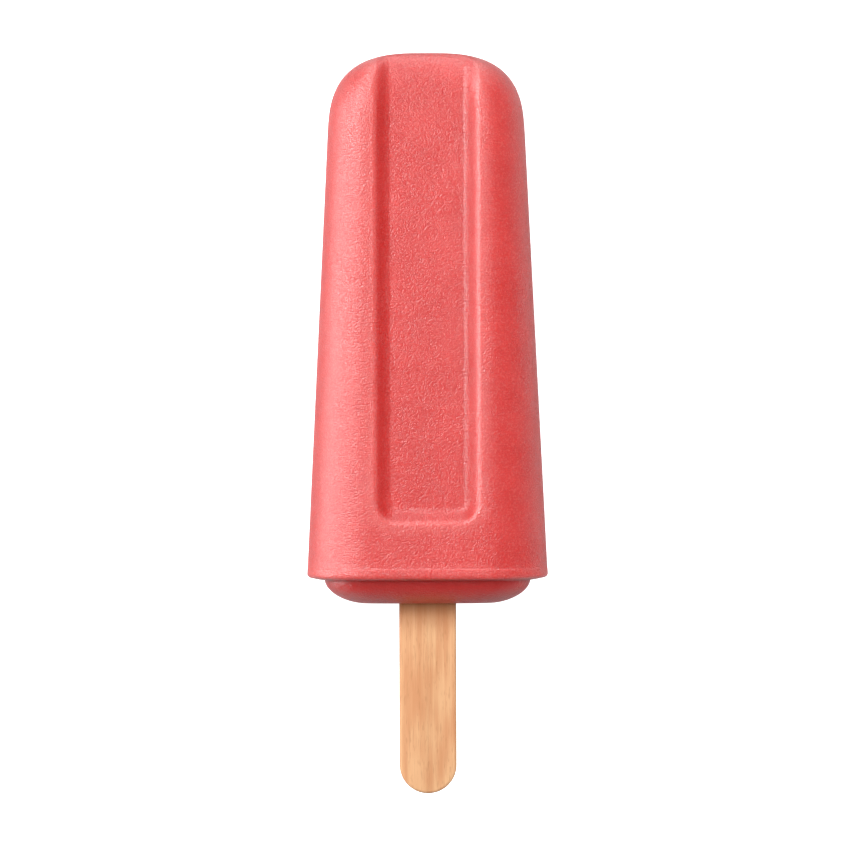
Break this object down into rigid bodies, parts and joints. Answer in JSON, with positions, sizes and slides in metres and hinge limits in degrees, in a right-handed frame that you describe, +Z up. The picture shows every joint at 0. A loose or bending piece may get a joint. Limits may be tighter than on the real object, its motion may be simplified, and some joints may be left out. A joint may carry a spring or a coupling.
{
  "type": "ice pop",
  "caption": "Ice pop: a tapered, moulded fruit sorbet bar with a round tip and a sunk panel on each face, on a flat wooden stick.",
  "frame": {"origin": "on the ground, under the centre of the bounding box of the ice pop as it lies on its back", "axes": "+Z up, out of the face that is shown; +Y along the ice pop from the stick to the tip; +X across the bar"},
  "size_m": [0.0422, 0.13, 0.0223],
  "materials": {
    "sorbet": "red fruit sorbet, frosty and softly glossy",
    "birch": "plain birch, planed smooth and unvarnished"
  },
  "bodies": {
    "root": {"sorbet_bar": "sorbet", "stick": "birch"}
  },
  "joints": []
}
